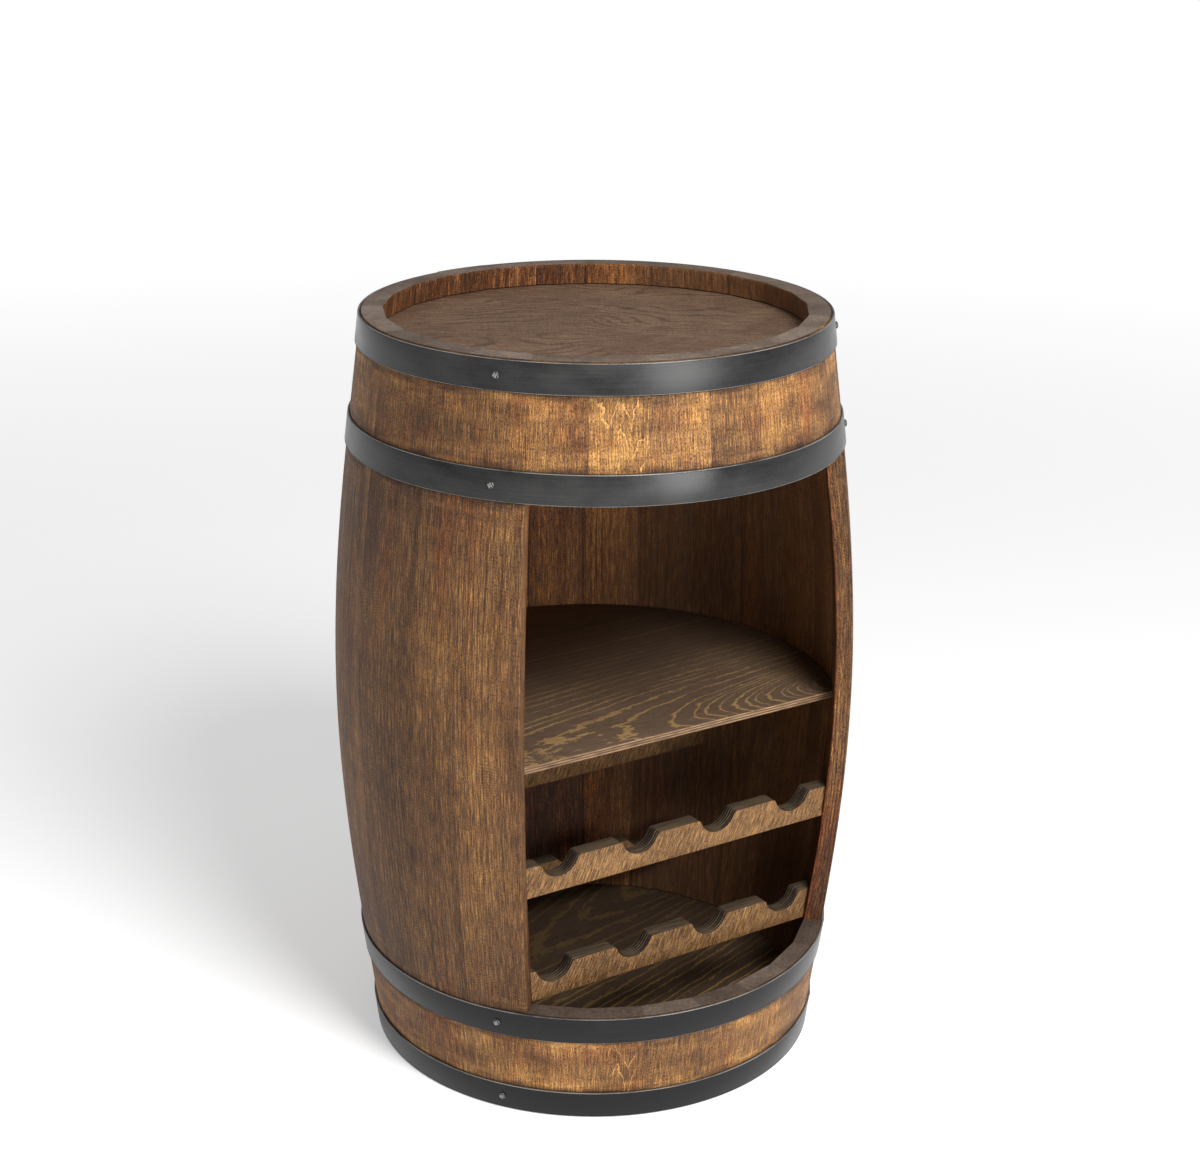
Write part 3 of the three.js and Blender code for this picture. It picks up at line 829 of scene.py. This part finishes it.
# Tone and figure of the short staves, from the left of the opening to its right
LOWER_LOOKS = [
    (-0.04, 0.0), (-0.05, 0.7), (-0.08, 0.0), (-0.08, 0.15), (-0.05, 0.0), (-0.08, 0.1), (-0.07, 0.0),
]
UPPER_LOOKS = [
    (0.01, 0.1), (0.15, 1.0), (0.09, 0.0), (-0.05, 0.0), (0.02, 0.2), (0.01, 0.0), (0.01, 0.0),
]
for i in range(FRONT_STAVES):
    start = -HALF_OPENING + FRONT_PITCH * i
    seam = seam_mark(i + 1)
    add_stave(f"lower_stave_{i + 1}", start, FRONT_PITCH, 0, OPENING_BOTTOM, seam, *LOWER_LOOKS[i])
    add_stave(f"upper_stave_{i + 1}", start, FRONT_PITCH, OPENING_TOP, HEIGHT, seam, *UPPER_LOOKS[i])


# Hoops

LAP_STAVE = BACK_STAVES // 2
BACK_CENTRES = [HALF_OPENING + BACK_PITCH * (i + 0.5) for i in range(BACK_STAVES)]


def hoop_radius(z):
    """Radius of a hoop's inner face."""
    return outer_radius(z) + HOOP_FIT - SKIN


def hoop_section(bottom):
    """Points round the strip, as height, distance out from its inner face and edge wear."""
    top = bottom + HOOP_WIDTH
    near_edge = CORNER * HOOP_ROUNDING
    bend = [(0, HOOP_ROUNDING), (near_edge, near_edge), (HOOP_ROUNDING, 0)]
    section = []
    for z_end, out_end in ((0, 1), (0, 0), (1, 0), (1, 1)):
        for out_inset, z_inset in bend if z_end == out_end else bend[::-1]:
            z = bottom + z_inset if z_end == 0 else top - z_inset
            out = out_inset if out_end == 0 else HOOP_THICKNESS - out_inset
            section.append((z, out, 1.0))
    return section + [(top - FADE, HOOP_THICKNESS, 0.0), (bottom + FADE, HOOP_THICKNESS, 0.0)]


def add_hoop(name, bottom, tone):
    """A steel strip round the barrel, its outer end lapped over its inner end at the back."""
    lap = LAP_LENGTH / outer_radius(bottom)
    ramp = LAP_RAMP / outer_radius(bottom)
    ramp_start = 2 * math.pi - 1.5 * ramp
    ramp_end = 2 * math.pi - 0.5 * ramp
    start = BACK_CENTRES[LAP_STAVE] - lap / 2
    section = hoop_section(bottom)
    turns = spread(0, ramp_start, HOOP_STEPS)[:-1]
    turns += spread(ramp_start, ramp_end, RAMP_STEPS)[:-1]
    turns += spread(ramp_end, 2 * math.pi + lap, LAP_STEPS)
    offset = random.uniform(0, TEXTURE_RUN)
    rings, grain, look = [], [], []
    for turn in turns:
        share = min(1.0, max(0.0, (turn - ramp_start) / ramp))
        lift = (HOOP_THICKNESS + HOOP_FIT) * share * share * (3 - 2 * share)
        rings.append([polar(start + turn, hoop_radius(z) + lift + out, z) for z, out, _ in section])
        grain += [(turn * BELLY_RADIUS / 1000 + offset, z / 1000, out / 1000) for z, out, _ in section]
        look += [(tone, 0, edge) for _, _, edge in section]
    points, faces = skin(rings)
    attributes = {"grain": grain, "look": look}
    add_piece(name + "_steel", points, faces, MATERIALS["hoop"], name, attributes)


for hoop, bottom in HOOPS.items():
    add_hoop("hoop_" + hoop, bottom, HOOP_LIGHT_AND_SHADE_TONES[0 if bottom > HEIGHT / 2 else 1])


# Screws

def loose_object(name, points, faces):
    """A mesh object from points in millimetres."""
    mesh = bpy.data.meshes.new(name)
    mesh.from_pydata([(x / 1000, y / 1000, z / 1000) for x, y, z in points], [], faces)
    loose = bpy.data.objects.new(name, mesh)
    bpy.context.scene.collection.objects.link(loose)
    return loose


def recess_ring(scale, height):
    """One end of the tapered cutter for an arm of the cross recess."""
    x = RECESS_LENGTH / 2 * scale
    y = RECESS_WIDTH / 2 * scale
    return [(-x, -y, height), (x, -y, height), (x, y, height), (-x, y, height)]


def screw_mesh():
    """Pan head screw with a cross recess. Its seat is at z = 0 and its shank points down."""
    head = SCREW_HEAD / 2
    shank = SCREW_SHANK / 2
    tip = 0.05
    seat = head - 0.25
    lip = 0.3
    brim = SCREW_BRIM * SCREW_HEAD_HEIGHT
    crown = (1 - SCREW_BRIM) * SCREW_HEAD_HEIGHT
    profile = [
        (tip, -SCREW_LENGTH),
        (shank, -SCREW_LENGTH + 2 * shank),
        (shank, 0),
        (seat, 0),
        (head, lip),
    ]
    dome = spread(0, math.radians(84), DOME_STEPS)
    profile += [(head * math.cos(a), brim + crown * math.sin(a)) for a in dome]
    around = spread(0, 2 * math.pi, SCREW_SIDES)[:-1]
    rings = [[(r * math.cos(a), r * math.sin(a), z) for a in around] for r, z in profile]
    blank = loose_object("screw_blank", *skin(rings))
    lower = recess_ring(RECESS_TAPER[0], SCREW_HEAD_HEIGHT - RECESS_DEPTH)
    upper = recess_ring(RECESS_TAPER[1], SCREW_HEAD_HEIGHT + 1)
    cutters = []
    for turned in (0, 90):
        cutter = loose_object("cutter", *skin([lower, upper]))
        cutter.rotation_euler.z = math.radians(turned)
        recess = blank.modifiers.new("recess", "BOOLEAN")
        recess.object = cutter
        recess.operation = "DIFFERENCE"
        recess.solver = "EXACT"
        cutters.append(cutter)
    bpy.context.view_layer.update()
    depsgraph = bpy.context.evaluated_depsgraph_get()
    done = bpy.data.meshes.new_from_object(blank.evaluated_get(depsgraph))
    for extra in (blank, *cutters):
        bpy.data.objects.remove(extra)
    done.polygons.foreach_set("use_smooth", [True] * len(done.polygons))
    done.set_sharp_from_angle(angle=math.radians(38))
    done.materials.clear()
    done.materials.append(MATERIALS["screw"])
    return done


SCREW_MESH = screw_mesh()
for hoop, bottom in HOOPS.items():
    for side, stave in (("right", 0), ("back", LAP_STAVE), ("left", BACK_STAVES - 1)):
        z = bottom + HOOP_WIDTH / 2
        slope = outer_radius(z + 0.5) - outer_radius(z - 0.5)
        azimuth = BACK_CENTRES[stave]
        outward = Vector((math.sin(azimuth), -math.cos(azimuth), -slope)).normalized()
        lap_lift = HOOP_THICKNESS + HOOP_FIT if side == "back" else 0
        seat = Vector(polar(azimuth, hoop_radius(z) + HOOP_THICKNESS + lap_lift + SCREW_LIFT, z))
        node = f"screw_{hoop}_{side}"
        piece = bpy.data.objects.new(node + "_head", SCREW_MESH)
        aim = outward.to_track_quat("Z", "Y").to_matrix().to_4x4()
        spin = Matrix.Rotation(random.uniform(0, math.pi / 2), 4, "Z")
        piece.matrix_world = Matrix.Translation(seat) @ aim @ spin
        bpy.context.scene.collection.objects.link(piece)
        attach(piece, "root")
        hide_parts(node)


# Shelf and rails

def rounded_rings(outline, low, high, rounding):
    """Rings of an extruded outline whose edges are rounded over. The outline runs counterclockwise.

    The least sum keeps the inset short at the sharpest corners.
    """
    least_sum = 0.3
    count = len(outline)
    normals = []
    for i in range(count):
        before = Vector(outline[i]) - Vector(outline[i - 1])
        after = Vector(outline[(i + 1) % count]) - Vector(outline[i])
        a = Vector((before.y, -before.x)).normalized()
        b = Vector((after.y, -after.x)).normalized()
        normals.append((a + b) / max(least_sum, 1 + a.dot(b)))
    near_edge = CORNER * rounding
    levels = [(rounding, low), (near_edge, low + near_edge), (0, low + rounding)]
    levels += [(0, high - rounding), (near_edge, high - near_edge), (rounding, high)]
    rings = []
    for inset, height in levels:
        rings.append([(x - n.x * inset, y - n.y * inset, height) for (x, y), n in zip(outline, normals)])
    return rings


def add_shelf():
    """The shelf, a disc inside the staves' flats that is cut straight across the front."""
    bottom = SHELF_TOP - SHELF_THICKNESS
    radius = min(wall_radius(bottom), wall_radius(SHELF_TOP)) * math.cos(BACK_PITCH / 2) - WALL_FIT
    corner = math.asin(-SHELF_FRONT / radius)
    around = spread(corner, math.pi - corner, SHELF_STEPS)
    outline = [(radius * math.cos(a), radius * math.sin(a)) for a in around]
    points, faces = skin(rounded_rings(outline, bottom, SHELF_TOP, ROUNDING))
    points = [place(*point) for point in points]
    add_piece("shelf_board", points, faces, MATERIALS["shelf"], "shelf")


def notch_arc(centre_x, centre_z, radius, start, end, count):
    """Points along an arc of a rail's upper edge."""
    angles = spread(start, end, count)
    return [(centre_x + radius * math.cos(a), centre_z + radius * math.sin(a)) for a in angles]


def rail_outline(reach, notch):
    """Outline of a rail's face from below, counterclockwise, in x and height over its bottom."""
    notch_radius, notch_depth = notch
    outline = [(-reach, 0), (reach, 0), (reach, RAIL_HEIGHT)]
    hollow = RAIL_HEIGHT - notch_depth + notch_radius
    shoulder = RAIL_HEIGHT - NOTCH_SHOULDER
    shoulder_x = math.sqrt((notch_radius + NOTCH_SHOULDER) ** 2 - (hollow - shoulder) ** 2)
    lean = math.atan2(hollow - shoulder, shoulder_x)
    for i in reversed(range(NOTCH_COUNT)):
        x = (i - (NOTCH_COUNT - 1) / 2) * NOTCH_PITCH
        right = (x + shoulder_x, shoulder, NOTCH_SHOULDER)
        left = (x - shoulder_x, shoulder, NOTCH_SHOULDER)
        outline += notch_arc(*right, math.pi / 2, math.pi - lean, SHOULDER_STEPS)
        outline += notch_arc(x, hollow, notch_radius, -lean, -math.pi + lean, NOTCH_STEPS)[1:-1]
        outline += notch_arc(*left, lean, math.pi / 2, SHOULDER_STEPS)
    outline.append((-reach, RAIL_HEIGHT))
    return outline


def wall_reach(y, z):
    """Half the width between the walls at a depth y and a height z."""
    seams = [HALF_OPENING + BACK_PITCH * i for i in range(BACK_STAVES // 2 + 1)]
    radius = wall_radius(z) - WALL_FIT
    corners = [(radius * math.sin(a), -radius * math.cos(a)) for a in seams]
    for (x0, y0), (x1, y1) in zip(corners, corners[1:]):
        if y0 <= y <= y1:
            return x0 + (x1 - x0) * (y - y0) / (y1 - y0)
    return corners[0][0]


def add_rail(name, bottom, front, notch):
    """A rail whose ends lie along the wall. Front is the depth of its front face."""
    reach = wall_reach(front, bottom) + RAIL_SPARE
    outline = rail_outline(reach, notch)
    rings = rounded_rings(outline, 0, RAIL_THICKNESS, ROUNDING)
    offset = random.uniform(0, TEXTURE_RUN)
    points, grain = [], []
    for ring in rings:
        for x, height, depth in ring:
            y = front + RAIL_THICKNESS - depth
            z = bottom + height
            if abs(x) > reach - RAIL_END:
                x = math.copysign(wall_reach(y, z), x)
            points.append(place(x, y, z))
            grain.append((x / 1000 + offset, z / 1000, (y - front) / 1000))
    _, faces = skin(rings)
    add_piece(name + "_ply", points, faces, MATERIALS["rail"], name, {"grain": grain})


def front_face(bottom):
    """Depth of a front rail's face, just behind the opening's inner corners."""
    return RAIL_SETBACK - wall_radius(bottom) * math.cos(HALF_OPENING)


add_shelf()
for name, bottom, front, notch in (
    ("upper_front_rail", UPPER_FRONT_RAIL_BOTTOM, front_face(UPPER_FRONT_RAIL_BOTTOM), NECK_NOTCH),
    ("upper_rear_rail", UPPER_REAR_RAIL_BOTTOM, REAR_RAIL_OFFSET, BODY_NOTCH),
    ("lower_front_rail", LOWER_FRONT_RAIL_BOTTOM, front_face(LOWER_FRONT_RAIL_BOTTOM), NECK_NOTCH),
    ("lower_rear_rail", LOWER_REAR_RAIL_BOTTOM, REAR_RAIL_OFFSET, BODY_NOTCH),
):
    add_rail(name, bottom, front, notch)


# CAD nodes that keep their own shape

def block_wood():
    """Plain stained wood for the shelf's blocks."""
    g = Graph("block_wood")
    grain = board_space(g, 0)
    streaks, pores = fibres(g, grain)
    level = streaks - pores * 0.2
    colour = g.ramp(level, [(0.2, srgb(66, 42, 28)), (0.8, srgb(140, 98, 64))])
    g.set(Base_Color=colour, Roughness=0.5 + streaks * 0.14, Normal=g.bump(streaks, 0.0002))
    return g.material


def dress(node, material, rounding=0.0):
    """Give a CAD node its material and, where rounding is set, softer arrises."""
    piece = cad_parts[node]
    piece.data.materials.clear()
    piece.data.materials.append(material)
    if rounding:
        bevel = piece.modifiers.new("arris", "BEVEL")
        bevel.width = rounding / 1000
        bevel.segments = 2
        bevel.limit_method = "ANGLE"


dress("top_board", MATERIALS["tray"])
dress("floor_board", MATERIALS["floor"])
BLOCK = block_wood()
for i in range(BLOCK_COUNT):
    dress(f"shelf_block_{i + 1}", BLOCK, BLOCK_ROUNDING)


# Floor, light and camera

def add_floor():
    """A white floor that glows a little, more so far from the cabinet."""
    g = Graph("floor_white")
    x, y, _ = g.split(g.node("ShaderNodeTexCoord", output="Object"))
    glow = g.ease(g.math("SQRT", x * x + y * y), 0.9, 6.0, 0.36, 0.75)
    g.set(Base_Color=(0.85, 0.85, 0.85, 1), Roughness=0.9)
    g.set(Emission_Color=(1, 1, 1, 1), Emission_Strength=glow)
    reach = 30
    corners = [(-reach, -reach, 0), (reach, -reach, 0), (reach, reach, 0), (-reach, reach, 0)]
    mesh = bpy.data.meshes.new("studio_floor")
    mesh.from_pydata(corners, [], [(0, 1, 2, 3)])
    mesh.materials.append(g.material)
    floor = bpy.data.objects.new("studio_floor", mesh)
    bpy.context.scene.collection.objects.link(floor)


def add_light(name, position, target, size, power):
    """A round soft light, in metres and watts."""
    data = bpy.data.lights.new(name, "AREA")
    data.shape = "DISK"
    data.size = size
    data.energy = power
    light = bpy.data.objects.new(name, data)
    bpy.context.scene.collection.objects.link(light)
    light.location = position
    light.rotation_euler = (Vector(target) - Vector(position)).to_track_quat("-Z", "Y").to_euler()


def add_camera():
    """Stands where the photograph was taken from, 32.5 degrees to the left of the opening."""
    azimuth = math.radians(-32.5)
    distance = 2274
    height = 1311
    pitch = math.radians(19.365)
    yaw = math.radians(0.146)
    roll = math.radians(0.37)
    focal_pixels = 2244
    image_width = 1200
    sensor_width = 36
    data = bpy.data.cameras.new("camera")
    data.sensor_width = sensor_width
    data.lens = sensor_width * focal_pixels / image_width
    data.clip_end = 100
    camera = bpy.data.objects.new("camera", data)
    bpy.context.scene.collection.objects.link(camera)
    camera.location = place(distance * math.sin(azimuth), -distance * math.cos(azimuth), height)
    level = Matrix.Rotation(azimuth - yaw, 4, "Z") @ Matrix.Rotation(math.pi / 2 - pitch, 4, "X")
    camera.rotation_euler = (level @ Matrix.Rotation(roll, 4, "Z")).to_euler()
    bpy.context.scene.camera = camera


add_floor()
add_camera()
add_light("key", position=(-0.08, -2.2, 2.65), target=(0, 0, 0.45), size=1.2, power=86)
add_light("front", position=(0.25, -3.0, 0.95), target=(0, 0, 0.5), size=1.3, power=44)
world = bpy.data.worlds.new("studio")
world.use_nodes = True
background = world.node_tree.nodes["Background"]
background.inputs["Color"].default_value = (1, 1, 1, 1)
background.inputs["Strength"].default_value = 0.35
bpy.context.scene.world = world
bpy.context.scene.view_settings.view_transform = "Standard"
